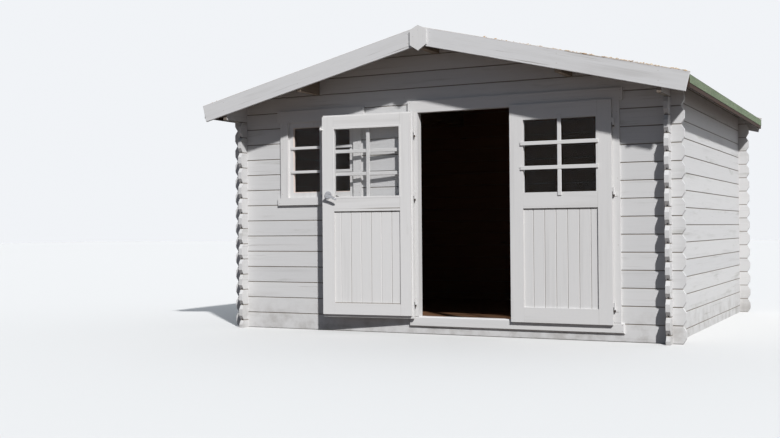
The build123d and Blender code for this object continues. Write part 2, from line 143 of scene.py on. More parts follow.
class ShedColours(bpy.types.PropertyGroup):
    """Colours that a maker would choose."""

    paint: rgb("Paint", "Light grey paint of the doors and window", 0.615, 0.604, 0.594)
    paint_worn: rgb("Worn paint", "Paint where grain shows through", 0.480, 0.468, 0.455)
    wall_paint: rgb("Wall paint", "Older grey paint of walls and bargeboards", 0.582, 0.576, 0.574)
    wall_worn: rgb("Worn wall paint", "Wall paint where grain shows through", 0.440, 0.430, 0.420)
    # The dirt colour also paints shade: in the walls' V joints, under the leaves' rails and across the left leaf's
    # mid rail.
    dirt_and_shade: rgb("Dirt", "Dirt in joints and near the ground", 0.150, 0.125, 0.095)
    bare: rgb("Bare timber", "Timber indoors", 0.155, 0.078, 0.040)
    bare_dark: rgb("Bare grain", "Darker grain of the timber indoors", 0.060, 0.028, 0.014)
    soffit: rgb("Soffit", "Roof boards and purlins, weathered", 0.235, 0.185, 0.140)
    soffit_dark: rgb("Soffit grain", "Darker grain of the roof timber", 0.105, 0.075, 0.052)
    raw: rgb("Raw rebate", "Bare pinkish wood round the glass", 0.640, 0.530, 0.470)
    fascia: rgb("Fascia", "Dark brown stain", 0.034, 0.018, 0.012)
    felt: rgb("Felt", "Green mineral felt", 0.250, 0.305, 0.200)
    felt_dark: rgb("Felt grit", "Darker grit of the felt", 0.095, 0.125, 0.075)
    moss: rgb("Moss", "Dry moss and dead needles on the verge", 0.360, 0.190, 0.085)
    backdrop: rgb("Backdrop", "Floor and backdrop", 0.620, 0.615, 0.605)
    floor_bounce: rgb("Floor bounce", "Floor as it lights the shed from below", 0.085, 0.064, 0.052)
    sky: rgb("Soft light", "Cool light from all round", 0.500, 0.700, 1.000)


def sizes():
    return bpy.context.scene.shed_sizes


def colours():
    return bpy.context.scene.shed_colours


def math_node(operation, turned=False):
    """A method of Value that adds a Math node, which takes the number itself second where it is turned."""
    def add_node(self, other=0.0):
        first, second = (other, self) if turned else (self, other)
        return self.finish.node("ShaderNodeMath", {"operation": operation}, {0: first, 1: second})
    return add_node


class Value:
    """A number in a material. Sums and products with it add Math nodes."""

    def __init__(self, finish, socket):
        self.finish = finish
        self.socket = socket

    __add__ = __radd__ = math_node("ADD")
    __sub__ = math_node("SUBTRACT")
    __rsub__ = math_node("SUBTRACT", turned=True)
    __mul__ = __rmul__ = math_node("MULTIPLY")
    __truediv__ = math_node("DIVIDE")
    __abs__ = math_node("ABSOLUTE")
    whole = math_node("FLOOR")
    part = math_node("FRACT")
    least = math_node("MINIMUM")
    most = math_node("MAXIMUM")
    above = math_node("GREATER_THAN")

    def ramp(self, low, high):
        """0 up to low, 1 from high, and smooth between; high below low turns it round."""
        inputs = {"Value": self, "From Min": low, "From Max": high}
        return self.finish.node("ShaderNodeMapRange", {"interpolation_type": "SMOOTHSTEP"}, inputs)


class Finish:
    """One material, whose nodes are added by the methods below."""

    def __init__(self, name, world=None):
        self.material = world or bpy.data.materials.new(name)
        self.material.use_nodes = True
        self.tree = self.material.node_tree
        self.shader = self.tree.nodes["Background" if world else "Principled BSDF"]

    def node(self, kind, settings, inputs, output=0):
        node = self.tree.nodes.new(kind)
        for key, value in settings.items():
            setattr(node, key, value)
        for key, value in inputs.items():
            self.feed(node.inputs[key], value)
        return Value(self, node.outputs[output])

    def feed(self, socket, value):
        if isinstance(value, Value):
            self.tree.links.new(value.socket, socket)
        elif hasattr(socket.default_value, "__len__") and len(socket.default_value) == 4:
            socket.default_value = (*value, 1.0)
        else:
            socket.default_value = value

    def place(self, turn=(0, 0, 0)):
        """The piece's own coordinates, turned."""
        coordinates = self.node("ShaderNodeTexCoord", {}, {}, "Object")
        return self.node("ShaderNodeMapping", {}, {"Vector": coordinates, "Rotation": turn})

    def moved(self, vector, operation, amount):
        return self.node("ShaderNodeVectorMath", {"operation": operation}, {0: vector, 1: amount})

    def stretched(self, vector, scale, detail=2.0, roughness=0.55):
        """Noise that is finer in one direction than in another."""
        return self.noise(self.moved(vector, "MULTIPLY", scale), 1.0, detail, roughness)

    def split(self, vector):
        node = self.node("ShaderNodeSeparateXYZ", {}, {0: vector}).socket.node
        return [Value(self, output) for output in node.outputs]

    def join(self, x, y, z):
        return self.node("ShaderNodeCombineXYZ", {}, {0: x, 1: y, 2: z})

    def noise(self, vector, scale, detail=3.0, roughness=0.55):
        inputs = {"Vector": vector, "Scale": scale, "Detail": detail, "Roughness": roughness}
        return self.node("ShaderNodeTexNoise", {}, inputs)

    def cells(self, vector, scale):
        """How far each place is from the nearest of many scattered points."""
        return self.node("ShaderNodeTexVoronoi", {}, {"Vector": vector, "Scale": scale})

    def chance(self, value):
        """A number from 0 to 1 that differs from one whole number to the next."""
        return self.node("ShaderNodeTexWhiteNoise", {"noise_dimensions": "1D"}, {"W": value})

    def mix(self, factor, first, second, blend="MIX"):
        """Two colours mixed by a factor. Inputs 6 and 7 and output 2 are the node's colour sockets."""
        settings = {"data_type": "RGBA", "blend_type": blend}
        return self.node("ShaderNodeMix", settings, {0: factor, 6: first, 7: second}, 2)

    def seen(self):
        """1 for what is seen straight, in a mirror or through glass, and 0 for what only lights."""
        path = self.node("ShaderNodeLightPath", {}, {}).socket.node
        seen = Value(self, path.outputs["Is Camera Ray"])
        for name in ("Is Glossy Ray", "Is Transmission Ray"):
            seen = seen.most(Value(self, path.outputs[name]))
        return seen

    def set(self, **inputs):
        for key, value in inputs.items():
            self.feed(self.shader.inputs[key.replace("_", " ")], value)

    def bump(self, height, distance, strength):
        inputs = {"Height": height, "Distance": distance, "Strength": strength}
        self.set(Normal=self.node("ShaderNodeBump", {}, inputs))


# How many times the grain of timber, and what lies in it, repeats in a metre, along and across the grain
BROAD_GRAIN = (0.9, 26.0, 26.0)
FINE_GRAIN = (5.0, 170.0, 170.0)
PATCHES = (1.6, 4.0, 4.0)
RINGS = (1.4, 60.0, 60.0)
KNOTS = (1.3, 5.5, 5.5)
FIBRES = (1.1, 75.0, 75.0)
SMUDGES = (1.5, 13.0, 13.0)


def timber(name, over, under, turn=(0, 0, 0), board=None, start=0.0, across="z", joint=0.0, indoors=False,
           dirty=False, rough=0.62, worn=1.0, cracks=0.0, smudges=0.0, regions=None):
    """Timber whose grain runs along x once it is turned.

    over and under are the colours between and in the grain. board is the width of one board, counted
    across y or z from start, and joint the half width of the dark line between two, which is dirt and
    painted shade in the joint. indoors leaves what faces the room bare. dirty soils what is near the
    ground. worn, cracks and smudges say how strongly each shows. regions may change the colour at the end.
    """
    paint = colours()
    finish = Finish(name)
    plain = finish.split(finish.place())
    place = finish.place(turn)
    line = split = None
    if board:
        depth, up = finish.split(place)[1:]
        count = ((up if across == "z" else depth) - start) / board
        number = count.whole()
        seed = finish.chance(number)
        place = finish.moved(place, "ADD", finish.join(seed * 9.0, seed * 3.0, seed * 5.0))
        if joint:
            edge = (0.5 - abs(count.part() - 0.5)) * board
            line = edge.ramp(joint, joint * 0.45)
    broad = finish.stretched(place, BROAD_GRAIN, 4.0, 0.6)
    fine = finish.stretched(place, FINE_GRAIN, 3.0, 0.6)
    patch = finish.stretched(place, PATCHES)
    rings = finish.stretched(place, RINGS, 2.0, 0.5)
    grain = broad.ramp(0.48, 0.70) * patch.ramp(0.35, 0.65)
    streak = (grain * 0.75 + fine.ramp(0.50, 0.72) * 0.30 + rings.ramp(0.55, 0.75) * 0.20).least(1.0) * worn
    knot = finish.cells(finish.moved(place, "MULTIPLY", KNOTS), 1.0).ramp(0.085, 0.035)
    colour = finish.mix(streak, over, under)
    if board:
        shade = finish.mix(finish.chance(number + 0.37), (0.955, 0.955, 0.955), (1.03, 1.028, 1.02))
        colour = finish.mix(1.0, colour, shade, "MULTIPLY")
    colour = finish.mix(knot * (0.45 * worn), colour, under)
    if cracks:
        split = finish.stretched(place, FIBRES, 3.0, 0.5).ramp(0.655, 0.70) * broad.ramp(0.40, 0.58)
        colour = finish.mix(split * cracks, colour, paint.dirt_and_shade)
    if smudges:
        smudge = finish.stretched(place, SMUDGES, 5.0, 0.62).ramp(0.56, 0.76)
        colour = finish.mix(smudge * smudges, colour, (0.300, 0.300, 0.262))
    if indoors:
        skin, edge = 0.0015, 0.001
        inside = (abs(plain[0]).ramp(HALF_ROOM + skin + edge, HALF_ROOM + skin)
                  * plain[1].ramp(FRONT_INNER - skin - edge, FRONT_INNER - skin)
                  * plain[1].ramp(BACK_INNER + skin + edge, BACK_INNER + skin))
        wood = finish.mix((streak * 0.9 + knot).least(1.0), paint.bare, paint.bare_dark)
        colour = finish.mix(inside, colour, wood)
    if dirty:
        soil = plain[2].ramp(0.34, 0.02) * finish.noise(finish.place(), 7.0, 4.0, 0.65).ramp(0.35, 0.75)
        colour = finish.mix(soil * 0.40, colour, paint.dirt_and_shade)
    # Painted shade and dirt: the dark line at each joint stands for the shadowed V between two boards as well as
    # dirt in it.
    if line:
        colour = finish.mix(line * 0.88, colour, paint.dirt_and_shade)
    if regions:
        colour = regions(finish, colour, plain)
    height = fine * 0.45 + broad * 0.35 - knot * 0.25
    if split:
        height = height - split * 0.8
    if line:
        height = height - line * 1.4
    finish.set(Base_Color=colour, Roughness=(rough + streak * 0.16 - 0.04 * patch), Specular_IOR_Level=0.25)
    finish.bump(height, 0.0014, 0.55)
    return finish.material


def painted(name, old=False, **choices):
    """Painted timber, in the greyer paint of the walls where it is old."""
    paint = colours()
    if old:
        return timber(name, paint.wall_paint, paint.wall_worn, **choices)
    return timber(name, paint.paint, paint.paint_worn, **choices)


def turned_for(direction):
    """The turn that lays a direction of the shed along x."""
    return direction.to_track_quat("X", "Z").inverted().to_euler()


def give(names, material):
    """Paint nodes of the frame, and leave their shape as it is."""
    for name in names:
        slots = frame["nodes"][name].data.materials
        slots.clear()
        slots.append(material)


def body_of(node):
    return next(body for body, nodes in frame["record"]["behaviour"]["bodies"].items() if node in nodes)


def added(name, bm, material):
    """An object in the scene, made of a finished mesh."""
    mesh = bpy.data.meshes.new(name)
    bm.to_mesh(mesh)
    bm.free()
    mesh.materials.append(material)
    result = bpy.data.objects.new(name, mesh)
    bpy.context.scene.collection.objects.link(result)
    return result


def piece(name, bm, material, body, replaces=()):
    """Turn a finished mesh's normals outward and make it a piece that rides on a body."""
    bm.normal_update()
    bmesh.ops.recalc_face_normals(bm, faces=bm.faces)
    result = added(name, bm, material)
    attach(result, body)
    if replaces:
        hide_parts(*replaces)
    return result


def board(bm, low, high, ease, matrix=None):
    """A sawn board between two corners, its edges eased."""
    low, high = Vector(low), Vector(high)
    made = bmesh.ops.create_cube(bm, size=1.0)["verts"]
    bmesh.ops.scale(bm, vec=high - low, verts=made)
    bmesh.ops.translate(bm, vec=(high + low) / 2, verts=made)
    edges = list(dict.fromkeys(edge for vert in made for edge in vert.link_edges))
    made = bmesh.ops.bevel(bm, geom=edges, offset=ease, offset_type="OFFSET", segments=1, profile=0.5,
                           affect="EDGES", material=-1)["verts"]
    if matrix:
        bmesh.ops.transform(bm, matrix=matrix, verts=made)


def rows(low, high, cover):
    """What each board covers when whole ones fill a length, and where each starts and ends."""
    count = round((high - low) / cover)
    cover = (high - low) / count
    half_gap = sizes().board_gap / 2
    starts = [low + number * cover for number in range(count)]
    return cover, [(start + half_gap, start + cover - half_gap) for start in starts]


def sweep(bm, stations, segments):
    """A round bar through stations, each of which places and sizes a unit circle."""
    circle = bmesh.ops.create_circle(bm, cap_ends=True, segments=segments, radius=1.0, matrix=stations[0])
    cap = circle["verts"][0].link_faces[0]
    for before, after in zip(stations, stations[1:]):
        grown = bmesh.ops.extrude_face_region(bm, geom=[cap])["geom"]
        verts = [item for item in grown if isinstance(item, bmesh.types.BMVert)]
        if before is not stations[0]:
            bmesh.ops.delete(bm, geom=[cap], context="FACES_ONLY")  # Only the bar's two ends are capped
        cap = next(item for item in grown if isinstance(item, bmesh.types.BMFace))
        bmesh.ops.transform(bm, matrix=after @ before.inverted(), verts=verts)


def soffit(x):
    """Underside of the roof boards at a place across the shed."""
    ridge = roof_high.z - sizes().roof_board / math.cos(sizes().pitch)
    return ridge - abs(x) * math.tan(sizes().pitch)


def down_slope(side):
    """The way the right slope falls, or the left slope rises."""
    return Vector((math.cos(sizes().pitch), 0, -side * math.sin(sizes().pitch)))


def leaf_matrix(side):
    """From a leaf's own plane, with x along it, y up and z outdoors, to where it stands."""
    joint = "left_door_hinge" if side > 0 else "right_door_hinge"
    angle = sizes().leaf_opened if side > 0 else 0.0
    return Matrix.Translation(axis_of(joint)) @ Matrix.Rotation(-angle, 4, "Z") @ UPRIGHT


# Nodes of the frame that keep their shape
WALLS_ACROSS = ("front_wall_base", "front_wall_left", "front_wall_right", "front_gable", "back_wall",
                "back_gable")
WALLS_ALONG = ("left_wall", "right_wall", "left_wall_plate", "right_wall_plate")
LEAVES = (("left_door", 1), ("right_door", -1))
SLOPES = (("left", -1), ("right", 1))

# How strongly the grain shows through the paint
TRIM_WORN, LEAF_WORN, BAR_WORN = 0.45, 0.40, 0.35


class Maker:
    """What the operators share: each makes its pieces from the chosen sizes and colours."""

    def execute(self, context):
        self.make(sizes(), colours())
        return {"FINISHED"}


class SHED_OT_walls(Maker, bpy.types.Operator):
    """Paint the boards of the walls and gables, and leave them bare indoors"""

    bl_idname = "shed.walls"
    bl_label = "Walls"

    def make(self, chosen, paint):
        look = {"old": True, "board": COURSE, "joint": 0.0050, "indoors": True, "dirty": True,
                "worn": 0.48, "smudges": 0.50, "cracks": 0.25}
        give(WALLS_ACROSS, painted("Painted boards across", **look))
        give(WALLS_ALONG, painted("Painted boards along", turn=turned_for(Y), start=COURSE / 2,
                                  regions=shaded_plate_ends, **look))


def shaded_plate_ends(finish, colour, plain):
    """Dark end grain, partly painted shade, where the wall plates are sawn off behind the bargeboards."""
    low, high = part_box("left_wall_plate")
    outward = abs(plain[1] - (low.y + high.y) / 2)
    reach = (high.y - low.y) / 2
    # Painted shade: the darkening of the sawn ends also stands for the bargeboards' shadow on them.
    return finish.mix(outward.ramp(reach - 0.004, reach - 0.001) * 0.9, colour, colours().soffit_dark)


class SHED_OT_trim(Maker, bpy.types.Operator):
    """Paint the ridge plates, casings, trims, frames and fascias"""

    bl_idname = "shed.trim"
    bl_label = "Trim"

    def make(self, chosen, paint):
        give(("front_ridge_plate", "back_ridge_plate", "door_casings", "window_casings", "door_frame",
              "window_frame", "window_casement"),
             painted("Painted upright trim", turn=turned_for(Z), worn=TRIM_WORN))
        give(("door_head_trim", "window_trims", "door_threshold"),
             painted("Painted level trim", worn=TRIM_WORN))
        give(("eave_fascias",),
             timber("Stained fascia", paint.fascia, paint.bare_dark, turn=turned_for(Y), rough=0.80))


class SHED_OT_bargeboards(Maker, bpy.types.Operator):
    """Cut the bargeboards of both gables, square at the eaves and plumb at the ridge"""

    bl_idname = "shed.bargeboards"
    bl_label = "Bargeboards"

    def make(self, chosen, paint):
        past_ridge, ease = 0.08, 0.0028
        for side_name, side in SLOPES:
            slope = painted(f"Painted bargeboard {side_name}", old=True, turn=turned_for(down_slope(side)),
                            worn=0.80, cracks=0.80, regions=worn_verge)
            for gable in ("front", "back"):
                node = f"{gable}_bargeboard_{side_name}"
                low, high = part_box(node)
                reach = max(abs(low.x), abs(high.x)) / math.cos(chosen.pitch)
                place = (Matrix.Translation((0, 0, high.z + chosen.barge_rise))
                         @ Matrix.Diagonal((side, 1, 1, 1)) @ Matrix.Rotation(chosen.pitch, 4, "Y"))
                bm = bmesh.new()
                board(bm, (-past_ridge, low.y, -chosen.barge_depth), (reach, high.y, 0), ease, place)
                bmesh.ops.recalc_face_normals(bm, faces=bm.faces)
                cut = bmesh.ops.bisect_plane(bm, geom=[*bm.verts, *bm.edges, *bm.faces], plane_co=(0, 0, 0),
                                             plane_no=side * X, clear_inner=True)["geom_cut"]
                bmesh.ops.holes_fill(bm, edges=[item for item in cut if isinstance(item, bmesh.types.BMEdge)])
                piece(f"{gable}_bargeboard_cut_{side_name}", bm, slope, body_of(node),
                      (node,))


def worn_verge(finish, colour, plain):
    """Bare, weathered wood along the top edge of a bargeboard."""
    ridge = felt_high.z + 0.0025 + sizes().barge_rise
    below_top = (ridge - abs(plain[0]) * math.tan(sizes().pitch)) - plain[2]
    ragged = finish.noise(finish.place(), 38.0, 4.0, 0.7)
    worn = (below_top + (ragged - 0.5) * 0.022).ramp(0.009, 0.001)
    amount = plain[0].ramp(0.2, 1.9) * 0.45 + 0.30
    return finish.mix(worn * amount, colour, (0.300, 0.235, 0.175))


class SHED_OT_leaves(Maker, bpy.types.Operator):
    """Paint the frames and boarded panels of both leaves"""

    bl_idname = "shed.leaves"
    bl_label = "Leaves"

    def make(self, chosen, paint):
        for name, side in LEAVES:
            self.leaf(name, side, chosen, paint)

    def leaf(self, name, side, chosen, paint):
        matrix = leaf_matrix(side)
        axis = matrix.translation
        heading = matrix.to_3x3() @ Vector((side, 0, 0))
        middle = chosen.hinge_offset + chosen.leaf_width / 2
        half = chosen.leaf_width / 2 - chosen.stile
        light_middle = (chosen.light_low + chosen.light_high) / 2
        light_half = (chosen.light_high - chosen.light_low) / 2
        first = chosen.left_first_board if side > 0 else chosen.right_first_board

        def way(plain):
            """How far along the leaf a place lies from the hinge axis."""
            return (plain[0] - axis.x) * heading.x + (plain[1] - axis.y) * heading.y

        def jointed(finish, colour, plain):
            """Grain across the rails, seams where rails meet stiles, and raw wood round the glass."""
            reach = way(plain)
            offset = abs(reach - middle)
            rail = offset.ramp(half + 0.0005, half)
            grain = finish.stretched(finish.place(turned_for(heading)), BROAD_GRAIN, 4.0, 0.6)
            railed = finish.mix(grain.ramp(0.48, 0.72) * 0.35, paint.paint, paint.paint_worn)
            colour = finish.mix(rail, colour, railed)
            seam = abs(offset - half).ramp(0.0016, 0.0006)
            hinge_side = reach.ramp(middle + 0.01, middle - 0.01)
            colour = finish.mix(seam * (hinge_side * 0.30 + 0.10), colour, paint.dirt_and_shade)
            if side > 0:
                # Painted shade: a dark line across the left leaf's mid rail, just above the panel, stands for a
                # ledge's shadow.
                ledge_shadow = abs(plain[2] - chosen.panel_top - 0.022).ramp(0.0042, 0.0028) * rail
                ledge_shadow = ledge_shadow * (reach.ramp(middle + 0.15, middle - 0.15) * 0.75 + 0.12)
                colour = finish.mix(ledge_shadow, colour, paint.dirt_and_shade)
            lit = (offset.ramp(half + 0.0008, half - 0.0002)
                   * abs(plain[2] - light_middle).ramp(light_half + 0.0008, light_half - 0.0002))
            return finish.mix(lit * 0.9, colour, paint.raw)

        def boarded(finish, colour, plain):
            """Dark joints between the panel's boards, every other one wider on the left leaf."""
            count = (middle + half - first - way(plain)) / chosen.panel_board
            nearest = (count + 0.5).whole()
            away = abs(count - nearest) * chosen.panel_board
            odd = (nearest * 0.5).part().above(0.25) if side > 0 else 1.0
            line = away.ramp(0.0022, 0.0008) * (odd * 0.55 + 0.20)
            # Painted shade: a dark band on the panel under the rail above it; on the left leaf also a dark gap
            # above the bottom rail.
            gap = plain[2].ramp(chosen.panel_top - 0.012, chosen.panel_top - 0.005)
            if side > 0:
                gap = gap + plain[2].ramp(chosen.panel_low + 0.011, chosen.panel_low + 0.005)
            colour = finish.mix(line, colour, paint.dirt_and_shade)
            return finish.mix(gap * 0.75, colour, paint.dirt_and_shade)

        for part, regions in (("frame", jointed), ("panel", boarded)):
            give((f"{name}_{part}",),
                 painted(f"Painted {name} {part}", turn=turned_for(Z), worn=LEAF_WORN, regions=regions))


class SHED_OT_glass(Maker, bpy.types.Operator):
    """Glaze the leaves and the window with clear, slightly dusty glass"""

    bl_idname = "shed.glass"
    bl_label = "Glass"

    def make(self, chosen, paint):
        clean, dusty = (0.92, 0.95, 0.96), (0.55, 0.55, 0.53)
        finish = Finish("Window glass")
        where = finish.place()
        cloud = finish.noise(where, 9.0, 5.0, 0.7).ramp(0.55, 0.85)
        spots = finish.cells(where, 62.0).ramp(0.13, 0.07)
        dust = (cloud * 0.12 + spots * finish.noise(where, 7.0, 2.0).ramp(0.50, 0.62) * 0.55).least(1.0)
        shine = finish.node("ShaderNodeFresnel", {}, {"IOR": 1.5}) * 0.18
        finish.set(Base_Color=finish.mix(dust, clean, dusty), Metallic=1.0 - dust,
                   Roughness=dust * 0.25 + 0.01, Alpha=shine + dust * 0.11)
        give(("left_door_glass", "right_door_glass", "window_glass"), finish.material)


class SHED_OT_structure(Maker, bpy.types.Operator):
    """Finish the purlins, bearers, hinges and hinge pins"""

    bl_idname = "shed.structure"
    bl_label = "Structure"

    def make(self, chosen, paint):
        give(("ridge_purlin", "left_purlin", "right_purlin"),
             timber("Weathered purlins", paint.soffit, paint.soffit_dark, turn=turned_for(Y), rough=0.75))
        give(("floor_bearers",),
             timber("Bearers", paint.bare, paint.bare_dark, turn=turned_for(Y), rough=0.8))
        hinge = Finish("Painted hinges")
        chips = hinge.noise(hinge.place(), 160.0, 3.0, 0.6).ramp(0.58, 0.66)
        hinge.set(Base_Color=hinge.mix(chips, paint.paint, (0.16, 0.12, 0.10)), Roughness=0.42 + chips * 0.3)
        hinge.bump(hinge.noise(hinge.place(), 300.0, 2.0), 0.0004, 0.3)
        give(("left_door_hinges", "right_door_hinges"), hinge.material)
        give(("hinge_pins",), self.pins(paint))

    def pins(self, paint):
        """Painted plates; between two knuckles the pins stand bare, their dark steel partly painted shade."""
        knuckles, below = (0.272, 1.174, 1.716), 0.029
        pin = Finish("Hinge pins, bare steel and painted shade at the knuckles")
        rust = pin.noise(pin.place(), 120.0, 4.0, 0.65)
        rusty = rust.ramp(0.45, 0.70)
        across, deep, up = pin.split(pin.place())
        left_axis, right_axis = axis_of("left_door_hinge"), axis_of("right_door_hinge")
        middle = (left_axis.x + right_axis.x) / 2
        aside = abs(abs(across - middle) - (right_axis.x - left_axis.x) / 2)
        # Painted shade: the dark bare steel low on each knuckle also stands for the shadowed gap between the
        # knuckles.
        bare = 0.0
        for height in knuckles:
            bare = bare + abs(up - height + below).ramp(0.0085, 0.0070)
        bare = (bare * aside.ramp(0.0090, 0.0080) * (deep - left_axis.y).ramp(0.0090, 0.0080)).least(1.0)
        steel = pin.mix(rusty, (0.050, 0.046, 0.044), (0.130, 0.070, 0.042))
        pin.set(Base_Color=pin.mix(bare, paint.paint, steel), Roughness=0.42 + rust * 0.3,
                Metallic=bare * (0.8 - rusty * 0.7))
        pin.bump(rust, 0.0004, 0.4)
        return pin.material


class SHED_OT_roof_boards(Maker, bpy.types.Operator):
    """Lay the roof boards from the ridge to the eaves, side by side"""

    bl_idname = "shed.roof_boards"
    bl_label = "Roof boards"

    def make(self, chosen, paint):
        ease = 0.0025
        cover, places = rows(roof_low.y, roof_high.y, chosen.roof_board_cover)
        for side_name, side in SLOPES:
            material = timber(f"Roof boards {side_name}", paint.soffit, paint.soffit_dark, board=cover,
                              turn=turned_for(down_slope(side)), start=roof_low.y, across="y", rough=0.75)
            bm = bmesh.new()
            for start, end in places:
                board(bm, (0, start, 0), (roof_high.x, end, chosen.roof_board), ease)
            for vert in bm.verts:
                rise = vert.co.z / math.cos(chosen.pitch)
                vert.co = Vector((side * vert.co.x, vert.co.y, soffit(vert.co.x) + rise))
            piece(f"roof_boarding_{side_name}", bm, material, body_of("roof_boards_left"),
                  (f"roof_boards_{side_name}",))


class SHED_OT_floor(Maker, bpy.types.Operator):
    """Lay the floor boards across the bearers"""

    bl_idname = "shed.floor"
    bl_label = "Floor"

    def make(self, chosen, paint):
        ease = 0.0015
        low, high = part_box("floor_boards")
        cover, places = rows(low.y, high.y, chosen.floor_board_cover)
        bm = bmesh.new()
        for start, end in places:
            board(bm, (low.x, start, low.z), (high.x, end, high.z), ease)
        material = timber("Floor boards", paint.bare, paint.bare_dark, board=cover, start=low.y, across="y",
                          rough=0.7)
        piece("floor_boarding", bm, material, body_of("floor_boards"), ("floor_boards",))


class SHED_OT_felt(Maker, bpy.types.Operator):
    """Lay the felt in strips from the eaves up, fold it down over the eaves and cap the ridge"""

    bl_idname = "shed.felt"
    bl_label = "Roofing felt"

    def make(self, chosen, paint):
        slope_length = felt_high.x / math.cos(chosen.pitch)
        fold = felt_high.z - felt_high.x * math.tan(chosen.pitch) - felt_low.z
        second = chosen.felt_width - fold - chosen.felt_lap
        cap = slope_length - chosen.felt_width / 2
        material = felt_finish()
        body = body_of("roof_felt_left")
        for side_name, side in SLOPES:
            bm = bmesh.new()
            self.strip(bm, side, -fold, chosen.felt_width - fold, 0.0)
            self.strip(bm, side, second, cap + chosen.felt_lap, chosen.felt)
            piece(f"felt_strips_{side_name}", bm, material, body, (f"roof_felt_{side_name}",))
        bm = bmesh.new()
        for _, side in SLOPES:
            self.strip(bm, side, cap, slope_length, 2 * chosen.felt)
        bmesh.ops.remove_doubles(bm, verts=bm.verts, dist=0.0001)
        piece("felt_ridge_cap", bm, material, body)

    def strip(self, bm, side, start, end, lift):
        """One strip, between two distances up the slope from the eave. It lies on the one below."""
        chosen = sizes()
        step, columns, frame_felt, lap_edge, inside_box = 0.06, 64, 0.003, 0.05, 0.0004
        count = max(2, round((end - start) / step))
        made = bmesh.ops.create_grid(bm, x_segments=count, y_segments=columns, size=0.5)["verts"]
        deck = felt_high.z - frame_felt / math.cos(chosen.pitch)
        length = felt_high.y - felt_low.y
        for vert in made:
            way = start + (vert.co.x + 0.5) * (end - start)
            y = felt_low.y + (vert.co.y + 0.5) * length
            wave = noise.noise(Vector((way * 3.1, y * 2.3, side * 7 + lift * 900))) * chosen.felt_wave
            edge = min(1.0, abs(way - start) / lap_edge) if lift else 1.0
            rise = lift * (1 - 0.35 * edge) + chosen.felt * 0.5 + max(0.0, wave)
            if way < 0:
                vert.co = Vector((side * (felt_high.x - chosen.felt / 2 - 0.0006), y,
                                  deck - felt_high.x * math.tan(chosen.pitch) + way))
            else:
                reach = max(felt_high.x - chosen.felt - inside_box - way * math.cos(chosen.pitch), 0.0)
                vert.co = Vector((side * reach, y, deck - reach * math.tan(chosen.pitch) + rise))
        bm.normal_update()
        faces = list(dict.fromkeys(face for vert in made for face in vert.link_faces))
        bmesh.ops.solidify(bm, geom=faces, thickness=chosen.felt)


def felt_finish():
    """Green mineral grit, worn darker in patches, with a pale bloom of lichen."""
    paint = colours()
    finish = Finish("Mineral felt")
    where = finish.place()
    grit = finish.cells(where, 420.0)
    speck = finish.noise(where, 300.0, 2.0, 0.7)
    patch = finish.noise(where, 2.2, 5.0, 0.6)
    streak = finish.stretched(where, (1.2, 9.0, 1.2), 4.0, 0.6)
    lichen = finish.noise(where, 26.0, 5.0, 0.65).ramp(0.60, 0.70) * patch.ramp(0.45, 0.62)
    colour = finish.mix(speck.ramp(0.38, 0.62), paint.felt_dark, paint.felt)
    colour = finish.mix(patch.ramp(0.40, 0.72) * 0.45, colour, paint.felt_dark)
    colour = finish.mix(streak.ramp(0.52, 0.75) * 0.30, colour, (0.30, 0.30, 0.22))
    colour = finish.mix(lichen * 0.6, colour, (0.42, 0.43, 0.33))
    finish.set(Base_Color=colour, Roughness=0.93, Specular_IOR_Level=0.2)
    finish.bump(grit * 0.5 + speck * 0.7, 0.0016, 0.8)
    return finish.material


class SHED_OT_bars(Maker, bpy.types.Operator):
    """Fit the glazing bars and beads of both leaves"""

    bl_idname = "shed.bars"
    bl_label = "Leaf bars and beads"

    def make(self, chosen, paint):
        ease, seam_half, behind_face = 0.002, 0.002, 0.006
        level = painted("Painted bars", worn=BAR_WORN)
        insets = {"left_door": (chosen.left_hinge_inset, chosen.left_free_inset),
                  "right_door": (chosen.right_hinge_inset, chosen.right_free_inset)}
        low, high = chosen.light_low, chosen.light_high - chosen.head_inset
        face = chosen.leaf_face
        back, seam = face - chosen.leaf, face - chosen.leaf / 2
        half, run = chosen.bar / 2, chosen.bar_overrun
        for name, side in LEAVES:
            matrix = leaf_matrix(side)
            near = chosen.hinge_offset + chosen.stile + insets[name][0]
            far = chosen.hinge_offset + chosen.leaf_width - chosen.stile - insets[name][1]
            left, right = sorted((side * near, side * far))
            centre = side * (chosen.hinge_offset + chosen.leaf_width / 2)
            bm = bmesh.new()
            board(bm, (centre - half, low - run * 1.3, face - behind_face),
                  (centre + half, chosen.light_high + run * 1.2, face + chosen.bar_proud * 0.8), ease, matrix)
            for third in (1, 2):
                height = low + (chosen.light_high - low) * third / 3
                board(bm, (left - run, height - half, face - 0.0002),
                      (right + run, height + half, face + chosen.bar_proud), ease, matrix)
            piece(f"{name}_bars", bm, level, name)
            for word, seat, proud, width, eased in (
                    ("rebate", seam + seam_half, face - 0.0004, 0.0145, 0.0008),
                    ("beads", back - 0.0012, seam - seam_half, chosen.bead, 0.0025)):
                bm = bmesh.new()
                bead_ring(bm, left, right, low, high, seat, proud, width, eased, matrix)
                piece(f"{name}_{word}", bm, level, name)


def bead_ring(bm, left, right, low, high, seat, proud, width, ease, matrix):
    """Four beads round what is seen of a pane, between two planes, their edges eased."""
    first, last = sorted((seat, proud))
    for x in (left - width, right):
        board(bm, (x, low - width, first), (x + width, high + width, last), ease, matrix)
    for z in (low - width, high):
        board(bm, (left, z, first), (right, z + width, last), ease, matrix)


